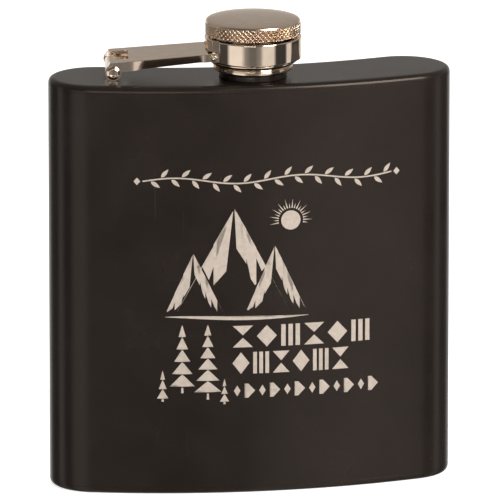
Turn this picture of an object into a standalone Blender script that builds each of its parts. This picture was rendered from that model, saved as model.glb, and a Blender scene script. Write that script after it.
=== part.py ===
"""Hip flask with a captive screw cap: a bowed steel flask, a hinged arm and a knurled cap.

Units are metres, +Z is up.  X runs along the width of the flask and the bowed front faces -Y.
The origin is the middle of the box that the flask stands in, on the surface it stands on.
The arm and the cap are laid out in the linkage frame: its origin is where the neck's axis meets
the shoulder, its +X runs along the arm to the hinge and its +Y points to the front.
"""
import math

import bmesh
import bpy
from mathutils import Matrix, Vector

MM = 0.001
GAP = 0.3 * MM                      # clearance between pieces that touch

# Flask body: a flat-sided oval section, bowed round the hip
WIDTH = 95.0 * MM
DEPTH = 22.2 * MM                   # front to back, across the bowed section
BOW_RADIUS = 133.0 * MM             # of the section's middle line
HEIGHT = 98.0 * MM                  # base to shoulder
WALL = 0.7 * MM
EDGE_ROUND = 1.3 * MM               # round between the wall and the top and bottom pans
PAN_HEIGHT = 1.5 * MM               # depth of the pans' turned rims

# Neck
NECK_BORE = 6.0 * MM
NECK_ROOT = 6.9 * MM
NECK_CREST = 7.5 * MM
NECK_COLLAR = 7.8 * MM
COLLAR_HEIGHT = 1.3 * MM
NECK_TOP = 7.4 * MM                 # above the shoulder
NECK_TAIL = 2.0 * MM                # below the shoulder's upper face
THREAD_PITCH = 1.4 * MM
THREAD_TURNS = 3
THREAD_START = 2.5 * MM             # lowest crest, above the shoulder

# Cap, measured from its axis and above the shoulder
SHELL_RADIUS = 11.15 * MM
SHELL_BOTTOM = 10.1 * MM
SHELL_RIM = 13.1 * MM
SHELL_TOP = 14.1 * MM
SHELL_WALL = 0.85 * MM
SLEEVE_RADIUS = 9.2 * MM            # part of the core that turns in the ring
FLANGE_RADIUS = 10.3 * MM
FLANGE_WAIST = 8.95 * MM
BEAD_RADIUS = 9.25 * MM              # rolled edge at the cap's mouth
FLANGE_BOTTOM = 1.9 * MM
CORE_ROOT = 8.3 * MM
CORE_CREST = 7.85 * MM
GASKET_RADIUS = 8.0 * MM
GASKET_THICKNESS = 1.2 * MM

# Swivel ring round the cap
RING_RADIUS = 11.35 * MM
RING_BORE = 9.5 * MM
RING_BOTTOM = 4.5 * MM
RING_TOP = 9.7 * MM
RING_FLAT = 6.0 * MM                # half the distance across its two side flats
RING_STEP = 8.1 * MM                # where the side flats begin
RING_NOSE = 10.75 * MM              # end flat that faces the arm
NOSE_TOP = 8.2 * MM                 # the ring is round again above this
LIP_REACH = 12.1 * MM               # stop under the arm's plate
LIP_HALF = 3.5 * MM
LIP_TOP = 5.5 * MM

# Arm: a channel pressed from sheet, pinned at both ends, in the linkage frame
ARM_YAW = math.radians(7.1)         # turned to follow the bowed shoulder
HINGE_AXIS = (32.8 * MM, 2.65 * MM)
RING_AXIS = (9.3 * MM, 5.9 * MM)
ARM_SHEET = 0.8 * MM
ARM_HALF_AT_HINGE = 7.9 * MM
ARM_HALF_AT_RING = 7.1 * MM
ARM_TOP_AT_RING = 6.9 * MM
ARM_TOP_AT_HINGE = 5.0 * MM
ARM_END = 11.2 * MM                 # edge of the plate, next to the ring
FLANGE_DEPTH = (2.0 * MM, 2.35 * MM)   # of the sides, at the ring and at the hinge
HINGE_EAR = 1.95 * MM
RING_EAR = 1.0 * MM
OPEN_ANGLE = math.radians(160.0)    # the arm's end lies flat on the shoulder when it is open
REST_DISTANCE = 2.3 * MM            # from the hinge axis to that flat
SLOT_HALF = 4.6 * MM
SLOT_START = 29.2 * MM

# Hinge bracket and pins
KNUCKLE_RADIUS = 1.8 * MM
KNUCKLE_HALF = 4.3 * MM
FOOT_HALF = 1.25 * MM
LEAF_REACH = 3.8 * MM               # stop leaf from the hinge axis toward the cap
LEAF_TOP = 3.9 * MM
LEAF_THICKNESS = 1.6 * MM
HINGE_PIN = 0.6 * MM
HINGE_HOLE = 0.9 * MM
HINGE_HEAD = 1.3 * MM
RIVET = 0.4 * MM
RIVET_HOLE = 0.68 * MM
RIVET_HEAD = 0.9 * MM
RIVET_DEPTH = 1.5 * MM              # how far it reaches into the ring
HEAD_HEIGHT = 0.55 * MM

ROUND_STEPS = 48
SMALL_STEPS = 20

# The section's ends, and the neck's place in the box round the flask
END_RADIUS = DEPTH / 2
END_X = WIDTH / 2 - END_RADIUS
END_ANGLE = math.asin(END_X / BOW_RADIUS)
END_SAG = BOW_RADIUS * (1 - math.cos(END_ANGLE))
NECK_Y = -(END_SAG + END_RADIUS - RING_RADIUS) / 2


def clear_scene():
    for item in list(bpy.data.objects):
        bpy.data.objects.remove(item, do_unlink=True)


def make_collection(name):
    collection = bpy.data.collections.new(name)
    bpy.context.scene.collection.children.link(collection)
    return collection


def make_material(name, colour, roughness, metallic):
    material = bpy.data.materials.new(name)
    material.use_nodes = True
    shader = material.node_tree.nodes["Principled BSDF"]
    shader.inputs["Base Color"].default_value = (*colour, 1.0)
    shader.inputs["Roughness"].default_value = roughness
    shader.inputs["Metallic"].default_value = metallic
    material.diffuse_color = (*colour, 1.0)
    return material


def arc_points(centre, radius, start, end, steps):
    """Points along an arc from one angle to another, both ends included."""
    points = []
    for index in range(steps + 1):
        angle = start + (end - start) * index / steps
        x = centre[0] + radius * math.cos(angle)
        y = centre[1] + radius * math.sin(angle)
        points.append((x, y))
    return points


def bowed_section(inset):
    """Outline of the flask from above, moved inwards by inset."""
    half = END_RADIUS - inset
    bow_centre = (0.0, NECK_Y + BOW_RADIUS)
    right = (END_X, NECK_Y + END_SAG)
    left = (-END_X, NECK_Y + END_SAG)
    quarter = math.pi / 2
    front = arc_points(bow_centre, BOW_RADIUS + half, -quarter - END_ANGLE, -quarter + END_ANGLE, 28)
    right_end = arc_points(right, half, -quarter + END_ANGLE, quarter + END_ANGLE, 14)
    back = arc_points(bow_centre, BOW_RADIUS - half, -quarter + END_ANGLE, -quarter - END_ANGLE, 24)
    left_end = arc_points(left, half, quarter - END_ANGLE, 3 * quarter - END_ANGLE, 14)
    return front[:-1] + right_end[:-1] + back[:-1] + left_end[:-1]


def outline_solid(name, points, low, high, collection):
    """A flat outline in X and Y, thickened from one height to another."""
    curve = bpy.data.curves.new(name, "CURVE")
    curve.dimensions = "2D"
    curve.fill_mode = "BOTH"
    curve.extrude = (high - low) / 2
    spline = curve.splines.new("POLY")
    spline.points.add(len(points) - 1)
    for point, (x, y) in zip(spline.points, points):
        point.co = (x, y, 0.0, 1.0)
    spline.use_cyclic_u = True
    outline = bpy.data.objects.new(name + "_outline", curve)
    collection.objects.link(outline)
    depsgraph = bpy.context.evaluated_depsgraph_get()
    mesh = bpy.data.meshes.new_from_object(outline.evaluated_get(depsgraph))
    bpy.data.objects.remove(outline, do_unlink=True)
    bpy.data.curves.remove(curve)
    solid = bmesh.new()
    solid.from_mesh(mesh)
    bmesh.ops.remove_doubles(solid, verts=solid.verts, dist=0.001 * MM)
    bmesh.ops.dissolve_limit(
        solid, angle_limit=math.radians(0.5), verts=solid.verts, edges=solid.edges)
    bmesh.ops.translate(solid, verts=solid.verts, vec=(0.0, 0.0, (low + high) / 2))
    bmesh.ops.recalc_face_normals(solid, faces=solid.faces)
    solid.to_mesh(mesh)
    solid.free()
    mesh.name = name
    piece = bpy.data.objects.new(name, mesh)
    collection.objects.link(piece)
    return piece


def side_solid(name, points, half_width, collection):
    """A side outline in X and Z, made as wide as half_width(x) says on both sides."""
    piece = outline_solid(name, points, -1.0, 1.0, collection)
    for vertex in piece.data.vertices:
        x, z, side = vertex.co
        vertex.co = (x, -math.copysign(half_width(x), side), z)
    return piece


def turned_solid(name, profile, steps, collection, closed):
    """A profile of radii and heights turned round Z; closed keeps it off the axis."""
    mesh = bpy.data.meshes.new(name)
    vertices = [(radius, 0.0, height) for radius, height in profile]
    edges = [(index, index + 1) for index in range(len(profile) - 1)]
    if closed:
        edges.append((len(profile) - 1, 0))
    mesh.from_pydata(vertices, edges, [])
    piece = bpy.data.objects.new(name, mesh)
    collection.objects.link(piece)
    screw = piece.modifiers.new("turn", "SCREW")
    screw.axis = "Z"
    screw.steps = steps
    screw.render_steps = steps
    screw.use_merge_vertices = True
    screw.merge_threshold = 0.01 * MM
    screw.use_smooth_shade = False
    return piece


def round_rod(name, radius, low, high, steps, collection):
    """A plain round bar along Z, used for holes."""
    rod = bmesh.new()
    bmesh.ops.create_cone(
        rod, cap_ends=True, segments=steps, radius1=radius, radius2=radius, depth=high - low)
    bmesh.ops.translate(rod, verts=rod.verts, vec=(0.0, 0.0, (low + high) / 2))
    mesh = bpy.data.meshes.new(name)
    rod.to_mesh(mesh)
    rod.free()
    piece = bpy.data.objects.new(name, mesh)
    collection.objects.link(piece)
    return piece


def block(name, low, high, collection):
    """A box between two corners."""
    box = bmesh.new()
    bmesh.ops.create_cube(box, size=1.0)
    size = [high[axis] - low[axis] for axis in range(3)]
    middle = [(high[axis] + low[axis]) / 2 for axis in range(3)]
    bmesh.ops.scale(box, verts=box.verts, vec=size)
    bmesh.ops.translate(box, verts=box.verts, vec=middle)
    mesh = bpy.data.meshes.new(name)
    box.to_mesh(mesh)
    box.free()
    piece = bpy.data.objects.new(name, mesh)
    collection.objects.link(piece)
    return piece


def round_edges(piece, width, segments, angle):
    bevel = piece.modifiers.new("round", "BEVEL")
    bevel.width = width
    bevel.segments = segments
    bevel.limit_method = "ANGLE"
    bevel.angle_limit = angle


def combine(piece, tool, operation):
    """Cut the tool from a piece, join it on, or keep only what lies inside it."""
    boolean = piece.modifiers.new(operation.lower(), "BOOLEAN")
    boolean.operation = operation
    boolean.solver = "EXACT"
    boolean.object = tool
    tool.hide_render = True
    tool.display_type = "WIRE"


def hold(piece, parent, offset=(0.0, 0.0, 0.0)):
    piece.parent = parent
    piece.location = offset


def paint(piece, material):
    piece.data.materials.clear()
    piece.data.materials.append(material)


def make_pivot(name, collection, parent=None, location=(0.0, 0.0, 0.0), turn=0.0):
    pivot = bpy.data.objects.new(name, None)
    pivot.empty_display_size = 5 * MM
    pivot.rotation_euler.z = turn
    collection.objects.link(pivot)
    hold(pivot, parent, location)
    return pivot


# ---------------------------------------------------------------- flask body

def body_blank(name, collection):
    blank = outline_solid(name, bowed_section(0.0), 0.0, HEIGHT, collection)
    round_edges(blank, EDGE_ROUND, 4, math.radians(60))
    return blank


def body_cavity(cutters):
    cavity = outline_solid("cavity", bowed_section(WALL), WALL, HEIGHT - WALL, cutters)
    round_edges(cavity, EDGE_ROUND - WALL, 3, math.radians(60))
    return cavity


def slab(name, low, high, cutters):
    reach = WIDTH
    return block(name, (-reach, -reach, low), (reach, reach, high), cutters)


def make_body(parts, cutters, coating):
    """The wall, and the two pans welded to its ends."""
    cavity = body_cavity(cutters)
    pans = (
        ("base_pan", -PAN_HEIGHT, PAN_HEIGHT),
        ("body_wall", PAN_HEIGHT + GAP, HEIGHT - PAN_HEIGHT - GAP),
        ("shoulder_pan", HEIGHT - PAN_HEIGHT, HEIGHT + PAN_HEIGHT),
    )
    for name, low, high in pans:
        piece = body_blank(name, parts)
        combine(piece, cavity, "DIFFERENCE")
        combine(piece, slab(name + "_slab", low, high, cutters), "INTERSECT")
        paint(piece, coating)
    return parts.objects["shoulder_pan"]


def cut_neck_hole(shoulder, cutters):
    hole = round_rod(
        "neck_hole", NECK_ROOT + GAP, HEIGHT - 5 * MM, HEIGHT + 5 * MM, ROUND_STEPS, cutters)
    hole.location.y = NECK_Y
    combine(shoulder, hole, "DIFFERENCE")


def thread_ridges(root, crest, lowest, turns):
    """Points of a run of thread ridges, from the top one down."""
    points = []
    flank = THREAD_PITCH * 0.3
    land = THREAD_PITCH * 0.08
    for turn in reversed(range(turns)):
        height = lowest + turn * THREAD_PITCH
        points.append((root, height + flank + land))
        points.append((crest, height + land))
        points.append((crest, height - land))
        points.append((root, height - flank - land))
    return points


def make_neck(parts, neck_foot, steel):
    lip = 0.35 * MM
    outer = [(NECK_ROOT - lip, NECK_TOP), (NECK_ROOT, NECK_TOP - lip)]
    outer += thread_ridges(NECK_ROOT, NECK_CREST, THREAD_START, THREAD_TURNS)
    outer += [(NECK_ROOT, COLLAR_HEIGHT + lip), (NECK_COLLAR, COLLAR_HEIGHT)]
    outer += [(NECK_COLLAR, GAP), (NECK_ROOT, GAP), (NECK_ROOT, -NECK_TAIL)]
    inner = [(NECK_BORE, -NECK_TAIL), (NECK_BORE, NECK_TOP - lip), (NECK_BORE + lip, NECK_TOP)]
    neck = turned_solid("neck", outer + inner, ROUND_STEPS, parts, True)
    hold(neck, neck_foot)
    paint(neck, steel)


# ---------------------------------------------------------------- cap

def make_cap_shell(parts, cap_axis, steel):
    rim = SHELL_TOP - 0.25 * MM
    profile = [(0.0, SHELL_TOP), (4.0 * MM, SHELL_TOP - 0.04 * MM), (8.0 * MM, SHELL_TOP - 0.15 * MM)]
    corner = (SHELL_RADIUS - (rim - SHELL_RIM), SHELL_RIM)
    profile += arc_points(corner, rim - SHELL_RIM, math.pi / 2, 0.0, 5)
    profile += [(SHELL_RADIUS, SHELL_BOTTOM + GAP), (SHELL_RADIUS - GAP, SHELL_BOTTOM)]
    inner = SHELL_RADIUS - SHELL_WALL
    ceiling = SHELL_TOP - SHELL_WALL
    profile += [(inner, SHELL_BOTTOM), (inner, ceiling), (0.0, ceiling)]
    shell = turned_solid("cap_shell", profile, ROUND_STEPS, parts, False)
    hold(shell, cap_axis)
    paint(shell, steel)


def make_cap_core(parts, cap_axis, steel):
    """Threaded cup; its foot flange and its head hold the ring between them."""
    head = SHELL_RADIUS - SHELL_WALL - GAP
    head_top = SHELL_TOP - SHELL_WALL - GAP
    pocket = 8.0 * MM
    pocket_floor = 10.0 * MM
    flange_top = RING_BOTTOM - GAP
    gasket_top = NECK_TOP + GAP + GASKET_THICKNESS
    profile = [(0.0, pocket_floor), (pocket, pocket_floor), (pocket, head_top), (head, head_top)]
    profile += [(head, SHELL_BOTTOM + GAP), (SLEEVE_RADIUS, SHELL_BOTTOM)]
    profile += [(SLEEVE_RADIUS, flange_top), (FLANGE_RADIUS - 0.2 * MM, flange_top)]
    profile += [(FLANGE_RADIUS, flange_top - 0.2 * MM), (FLANGE_RADIUS, flange_top - 0.35 * MM)]
    profile += [(FLANGE_WAIST, FLANGE_BOTTOM + 0.75 * MM), (BEAD_RADIUS, FLANGE_BOTTOM + 0.5 * MM)]
    profile += [(BEAD_RADIUS, FLANGE_BOTTOM + 0.2 * MM), (BEAD_RADIUS - 0.2 * MM, FLANGE_BOTTOM)]
    profile += [(CORE_ROOT + 0.2 * MM, FLANGE_BOTTOM)]
    ridges = thread_ridges(CORE_ROOT, CORE_CREST, THREAD_START + THREAD_PITCH / 2, THREAD_TURNS)
    profile += list(reversed(ridges))
    profile += [(CORE_ROOT, gasket_top + GAP), (0.0, gasket_top + GAP)]
    core = turned_solid("cap_core", profile, ROUND_STEPS, parts, False)
    hold(core, cap_axis)
    paint(core, steel)


def make_gasket(parts, cap_axis, rubber):
    low = NECK_TOP + GAP
    high = low + GASKET_THICKNESS
    soft = 0.2 * MM
    profile = [(0.0, high), (GASKET_RADIUS - soft, high), (GASKET_RADIUS, high - soft)]
    profile += [(GASKET_RADIUS, low + soft), (GASKET_RADIUS - soft, low), (0.0, low)]
    gasket = turned_solid("cap_gasket", profile, ROUND_STEPS // 2, parts, False)
    hold(gasket, cap_axis)
    paint(gasket, rubber)


def make_ring(parts, cutters, ring_pivot, steel):
    """Band round the cap, flattened at its sides and nose for the arm, with a stop lip below it."""
    edge = 0.5 * MM
    profile = arc_points((RING_RADIUS - edge, RING_TOP - edge), edge, math.pi / 2, 0.0, 3)
    profile += arc_points((RING_RADIUS - edge, RING_BOTTOM + edge), edge, 0.0, -math.pi / 2, 3)
    profile += [(RING_BORE, RING_BOTTOM), (RING_BORE, RING_TOP)]
    ring = turned_solid("swivel_ring", profile, ROUND_STEPS, parts, True)
    shift = (-RING_AXIS[0], 0.0, -RING_AXIS[1])
    hold(ring, ring_pivot, shift)
    far = 2 * RING_RADIUS
    nose = block("nose_flat", (RING_NOSE, -far, 0.0), (far, far, NOSE_TOP), cutters)
    tools = [nose]
    for side, suffix in ((1, "front"), (-1, "back")):
        low_y, high_y = sorted((side * RING_FLAT, side * far))
        flat = block("side_flat_" + suffix, (RING_STEP, low_y, 0.0), (far, high_y, far), cutters)
        tools.append(flat)
        tools.append(rivet_hole("ring_hole_" + suffix, side, cutters))
    for tool in tools:
        hold(tool, ring_pivot, shift)
        combine(ring, tool, "DIFFERENCE")
    root = (RING_BORE + RING_NOSE) / 2
    lip = block(
        "stop_lip", (root, -LIP_HALF, RING_BOTTOM + 0.1 * MM), (LIP_REACH, LIP_HALF, LIP_TOP), cutters)
    hold(lip, ring_pivot, shift)
    combine(ring, lip, "UNION")
    paint(ring, steel)


def rivet_hole(name, side, cutters):
    """A blind hole in one side flat, on the ring's pivot axis."""
    depth = RIVET_DEPTH + GAP
    hole = round_rod(name, RIVET_HOLE, RING_FLAT - depth, RING_FLAT + depth, SMALL_STEPS, cutters)
    hole.data.transform(Matrix.Rotation(-side * math.pi / 2, 4, "X"))
    hole.data.transform(Matrix.Translation((RING_AXIS[0], 0.0, RING_AXIS[1])))
    return hole


# ---------------------------------------------------------------- arm

def arm_top(x):
    """Height of the plate's upper face along the arm."""
    run = (x - RING_AXIS[0]) / (HINGE_AXIS[0] - RING_AXIS[0])
    return ARM_TOP_AT_RING + (ARM_TOP_AT_HINGE - ARM_TOP_AT_RING) * run


def arm_half(x):
    """Half the arm's width, outside, along the arm."""
    run = (x - RING_AXIS[0]) / (HINGE_AXIS[0] - RING_AXIS[0])
    return ARM_HALF_AT_RING + (ARM_HALF_AT_HINGE - ARM_HALF_AT_RING) * run


def rest_flat(x, inset):
    """Height of the flat at the plate's end that meets the shoulder when the arm is open."""
    slope = math.pi - OPEN_ANGLE
    distance = REST_DISTANCE - inset
    return HINGE_AXIS[1] + distance / math.cos(slope) - (x - HINGE_AXIS[0]) * math.tan(slope)


def flat_start(inset):
    """Where the plate's upper face meets that flat."""
    low = HINGE_AXIS[0] - 5 * MM
    high = HINGE_AXIS[0] + 5 * MM
    for _ in range(40):
        middle = (low + high) / 2
        if rest_flat(middle, inset) > arm_top(middle) - inset:
            low = middle
        else:
            high = middle
    return low


def arm_outline():
    """The arm from its side, from the ring's ear along the top and back along the bottom."""
    slope = math.pi - OPEN_ANGLE
    start = flat_start(0.0)
    points = arc_points(RING_AXIS, RING_EAR, math.radians(250), math.radians(105), 8)
    points.append((start, arm_top(start)))
    tangent = math.pi / 2 - slope
    points.append((HINGE_AXIS[0] + REST_DISTANCE * math.cos(tangent),
                   HINGE_AXIS[1] + REST_DISTANCE * math.sin(tangent)))
    points += arc_points(HINGE_AXIS, HINGE_EAR, tangent - 0.3, math.radians(-195), 16)
    hinge_side = HINGE_AXIS[0] - HINGE_EAR
    points.append((hinge_side - 0.6 * MM, arm_top(hinge_side) - FLANGE_DEPTH[1]))
    points.append((ARM_END, arm_top(ARM_END) - FLANGE_DEPTH[0]))
    return points


def channel_outline():
    """The hollow of the channel: everything below the sheet."""
    start = flat_start(ARM_SHEET)
    far = HINGE_AXIS[0] + 7 * MM
    near = RING_AXIS[0] - 4 * MM
    points = [(near, arm_top(near) - ARM_SHEET), (start, arm_top(start) - ARM_SHEET)]
    points += [(far, rest_flat(far, ARM_SHEET)), (far, -7 * MM), (near, -7 * MM)]
    return points


def make_arm(parts, cutters, arm_pivot, steel):
    arm = side_solid("arm", arm_outline(), arm_half, parts)

    def inside(x):
        return arm_half(x) - ARM_SHEET

    channel = side_solid("arm_channel", channel_outline(), inside, cutters)
    high = 20 * MM
    end = ARM_HALF_AT_RING - ARM_SHEET
    gate = block("ring_gate", (0.0, -end, 0.0), (ARM_END, end, high), cutters)
    slot = block("hinge_slot", (SLOT_START, -SLOT_HALF, 0.0), (2 * SLOT_START, SLOT_HALF, high), cutters)
    hinge_hole = cross_rod("hinge_hole", HINGE_AXIS, HINGE_HOLE, 2 * ARM_HALF_AT_HINGE, cutters)
    ring_hole = cross_rod("ear_hole", RING_AXIS, RIVET_HOLE, 2 * ARM_HALF_AT_HINGE, cutters)
    shift = (-HINGE_AXIS[0], 0.0, -HINGE_AXIS[1])
    hold(arm, arm_pivot, shift)
    for tool in (channel, gate, slot, hinge_hole, ring_hole):
        hold(tool, arm_pivot, shift)
        combine(arm, tool, "DIFFERENCE")
    paint(arm, steel)


def cross_rod(name, axis, radius, half, collection):
    """A round bar across the arm, on a pivot axis."""
    rod = round_rod(name, radius, -half, half, SMALL_STEPS, collection)
    rod.data.transform(Matrix.Rotation(math.pi / 2, 4, "X"))
    rod.data.transform(Matrix.Translation((axis[0], 0.0, axis[1])))
    return rod


# ---------------------------------------------------------------- hinge and rivets

def make_bracket(parts, cutters, hinge_seat, steel):
    """Knuckle that carries the hinge pin, its foot on the shoulder, and a stop leaf under the arm."""
    floor = GAP - HINGE_AXIS[1]
    meet = -math.acos(FOOT_HALF / KNUCKLE_RADIUS)
    leaf_top = LEAF_TOP - HINGE_AXIS[1]
    leaf_bottom = leaf_top - LEAF_THICKNESS
    join = math.pi - math.asin(leaf_top / KNUCKLE_RADIUS)
    points = [(-FOOT_HALF, floor), (FOOT_HALF, floor)]
    points += arc_points((0.0, 0.0), KNUCKLE_RADIUS, meet, join, 20)
    points += [(-LEAF_REACH, leaf_top), (-LEAF_REACH, leaf_bottom), (-FOOT_HALF, leaf_bottom)]
    bracket = side_solid("hinge_bracket", points, lambda x: KNUCKLE_HALF, parts)
    hold(bracket, hinge_seat)
    bore = cross_rod("bracket_bore", (0.0, 0.0), HINGE_HOLE, 2 * KNUCKLE_HALF, cutters)
    hold(bore, hinge_seat)
    combine(bracket, bore, "DIFFERENCE")
    paint(bracket, steel)


def headed_profile(shank, head, tip, shoulder):
    """Half of a rivet: a domed head above a shank that runs down to its tip."""
    dome = [(head * math.sin(angle), shoulder + HEAD_HEIGHT * math.cos(angle))
            for angle in (0.0, 0.5, 0.95, 1.3)]
    return dome + [(head, shoulder + 0.1 * MM), (head, shoulder), (shank, shoulder), (shank, tip)]


def make_hinge_pin(parts, hinge_seat, steel):
    shoulder = ARM_HALF_AT_HINGE + GAP
    half = headed_profile(HINGE_PIN, HINGE_HEAD, 0.0, shoulder)[:-1]
    mirrored = [(radius, -height) for radius, height in reversed(half)]
    pin = turned_solid("hinge_pin", half + mirrored, SMALL_STEPS, parts, False)
    hold(pin, hinge_seat)
    pin.rotation_euler.x = math.pi / 2
    paint(pin, steel)


def make_rivets(parts, ring_pivot, steel):
    shoulder = ARM_HALF_AT_RING + GAP
    tip = RING_FLAT - RIVET_DEPTH
    profile = headed_profile(RIVET, RIVET_HEAD, tip, shoulder) + [(0.0, tip)]
    for side, suffix in ((1, "front"), (-1, "back")):
        rivet = turned_solid("ring_rivet_" + suffix, profile, SMALL_STEPS, parts, False)
        hold(rivet, ring_pivot)
        rivet.rotation_euler.x = -side * math.pi / 2
        paint(rivet, steel)


def make_flask():
    clear_scene()
    parts = make_collection("hip_flask")
    cutters = make_collection("cutters")
    coating = make_material("black_coating", (0.028, 0.022, 0.020), 0.42, 0.0)
    nickel = make_material("polished_steel", (0.78, 0.71, 0.63), 0.12, 1.0)
    plain = make_material("plain_steel", (0.55, 0.52, 0.48), 0.3, 1.0)
    rubber = make_material("seal_rubber", (0.75, 0.74, 0.70), 0.6, 0.0)

    foot = Vector((0.0, NECK_Y, HEIGHT))
    linkage = make_pivot("linkage_frame", parts, None, foot, math.pi - ARM_YAW)
    hinge = (HINGE_AXIS[0], 0.0, HINGE_AXIS[1])
    hinge_seat = make_pivot("hinge_seat", parts, linkage, hinge)
    arm_pivot = make_pivot("arm_pivot", parts, linkage, hinge)
    to_ring = (RING_AXIS[0] - HINGE_AXIS[0], 0.0, RING_AXIS[1] - HINGE_AXIS[1])
    ring_pivot = make_pivot("ring_pivot", parts, arm_pivot, to_ring)
    cap_axis = make_pivot("cap_axis", parts, ring_pivot, (-RING_AXIS[0], 0.0, -RING_AXIS[1]))

    shoulder = make_body(parts, cutters, coating)
    cut_neck_hole(shoulder, cutters)
    make_neck(parts, linkage, plain)
    make_bracket(parts, cutters, hinge_seat, nickel)
    make_hinge_pin(parts, hinge_seat, nickel)
    make_arm(parts, cutters, arm_pivot, nickel)
    make_ring(parts, cutters, ring_pivot, nickel)
    make_rivets(parts, ring_pivot, nickel)
    make_cap_shell(parts, cap_axis, nickel)
    make_cap_core(parts, cap_axis, plain)
    make_gasket(parts, cap_axis, rubber)


make_flask()
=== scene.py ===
"""Hip flask: fine surface, materials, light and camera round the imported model."""

import math

import bmesh
import bpy
from mathutils import Matrix, Vector, noise


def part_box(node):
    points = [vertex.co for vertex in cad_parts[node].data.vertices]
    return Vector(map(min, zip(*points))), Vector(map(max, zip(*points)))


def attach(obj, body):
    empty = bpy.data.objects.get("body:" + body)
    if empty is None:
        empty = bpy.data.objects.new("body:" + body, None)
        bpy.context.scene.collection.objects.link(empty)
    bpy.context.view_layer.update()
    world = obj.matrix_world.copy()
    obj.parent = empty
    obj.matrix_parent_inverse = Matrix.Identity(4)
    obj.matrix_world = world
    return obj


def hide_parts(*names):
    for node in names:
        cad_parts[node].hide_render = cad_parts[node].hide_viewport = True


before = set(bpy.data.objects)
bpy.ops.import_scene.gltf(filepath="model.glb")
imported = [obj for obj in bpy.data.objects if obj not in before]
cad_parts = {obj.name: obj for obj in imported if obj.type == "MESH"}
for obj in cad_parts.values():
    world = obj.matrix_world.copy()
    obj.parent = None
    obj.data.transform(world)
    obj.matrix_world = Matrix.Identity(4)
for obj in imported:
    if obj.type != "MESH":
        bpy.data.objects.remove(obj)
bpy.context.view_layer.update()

MM = 0.001

# ---------------------------------------------------------------- sizes, in millimetres

body_low, body_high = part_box("body_wall")
shoulder_low, shoulder_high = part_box("shoulder_pan")
neck_low, neck_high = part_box("neck")
WIDTH = (body_high.x - body_low.x) / MM + 0.03
HEIGHT = shoulder_high.z / MM
DEPTH = 22.2
BOW = 133.0
WALL = 0.7
ROUND = 1.5
SEAM = 1.65                        # height of the pans' turned rims, to the weld line
NECK_X = 0.0
NECK_Y = (neck_low.y + neck_high.y) / 2 / MM
END = DEPTH / 2
END_X = WIDTH / 2 - END
END_ANGLE = math.asin(END_X / BOW)
END_SAG = BOW * (1 - math.cos(END_ANGLE))
YAW = math.radians(7.1)
HINGE = (32.8, 2.65)
PIVOT = (9.3, 5.9)
SHEET = 0.8                        # thickness of the arm
OPEN = math.radians(160.0)
REST = 2.3                         # from the hinge's axis to the arm's sloped end
ARM_TOP = (6.9, 5.0)               # height of the arm's plate, at the ring and at the hinge
ARM_HALF = (7.1, 7.9)              # half its width there
FLANGE_DEPTH = (2.0, 2.26, 2.35)   # depth of its sides at the ring, midway and at the hinge
ARM_END = 11.2
SLOT_START = 29.2
SLOT_HALF = 4.6
KNUCKLE = 1.8
KNUCKLE_HALF = 4.3
FOOT_HALF = 1.25
LEAF = (3.8, 2.3, 3.9)             # the knuckle's leaf: reach, underside and top
RING_FLAT = 6.0
PIT_RADIUS = 10.62                 # of the knurl's pits and ridges, between which the painted shade in the pits fades
RIDGE_RADIUS = 11.08
KNURL_PITCH = 1.22
KNURL_DEPTH = 0.52
LINKAGE = Matrix.Translation((NECK_X, NECK_Y, HEIGHT)) @ Matrix.Rotation(math.pi - YAW, 4, "Z")
ON_NECK = Matrix.Translation((NECK_X, NECK_Y, HEIGHT))
NECK_CENTRE = (NECK_X * MM, NECK_Y * MM, 0.0)


# ---------------------------------------------------------------- nodes

def add(tree, kind, inputs=None, **settings):
    made = tree.nodes.new("ShaderNode" + kind)
    for key, value in settings.items():
        setattr(made, key, value)
    for key, value in (inputs or {}).items():
        socket = made.inputs[key]
        if isinstance(value, bpy.types.NodeSocket):
            tree.links.new(value, socket)
        else:
            socket.default_value = value
    return made


def maths(tree, operation, a, b=0.0, clamp=False):
    return add(tree, "Math", {0: a, 1: b}, operation=operation, use_clamp=clamp).outputs[0]


def ramp(tree, value, stops, interpolation="LINEAR"):
    made = add(tree, "ValToRGB", {"Fac": value})
    band = made.color_ramp
    band.interpolation = interpolation
    while len(band.elements) < len(stops):
        band.elements.new(0.5)
    for element, (place, colour) in zip(band.elements, stops):
        element.position = place
        if isinstance(colour, (int, float)):
            colour = (colour,) * 3
        element.color = (*colour, 1.0)
    return made.outputs["Color"]


def fine_noise(tree, vector, scale, detail=3.0, roughness=0.55):
    return add(tree, "TexNoise", {"Vector": vector, "Scale": scale, "Detail": detail,
                                  "Roughness": roughness}).outputs["Fac"]


def mixed_colour(tree, share, a, b, kind="MIX"):
    """Colour a moved towards b, or multiplied by it, as far as share says."""
    return add(tree, "Mix", {0: share, 6: a, 7: b}, data_type="RGBA", blend_type=kind).outputs[2]


def bump(tree, height, strength, distance, below=None):
    inputs = {"Height": height, "Strength": strength, "Distance": distance}
    if below is not None:
        inputs["Normal"] = below
    return add(tree, "Bump", inputs).outputs["Normal"]


def new_material(name):
    material = bpy.data.materials.new(name)
    material.use_nodes = True
    tree = material.node_tree
    shader = tree.nodes["Principled BSDF"]
    place = add(tree, "TexCoord").outputs["Object"]
    return material, tree, shader, place


def connect(tree, shader, **sockets):
    for name, value in sockets.items():
        socket = shader.inputs[name.replace("_", " ")]
        if isinstance(value, bpy.types.NodeSocket):
            tree.links.new(value, socket)
        else:
            socket.default_value = value


def scratches(tree, place, turn, scale, threshold):
    """Thin straight marks that run across the surface at one angle."""
    turned = add(tree, "Mapping", {"Vector": place, "Rotation": (0.0, turn, 0.0),
                                   "Scale": (scale, scale, scale * 0.035)}).outputs[0]
    lines = fine_noise(tree, turned, 1.0, 1.0, 0.4)
    return ramp(tree, lines, [(threshold, 0.0), (threshold + 0.02, 1.0)])


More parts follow.
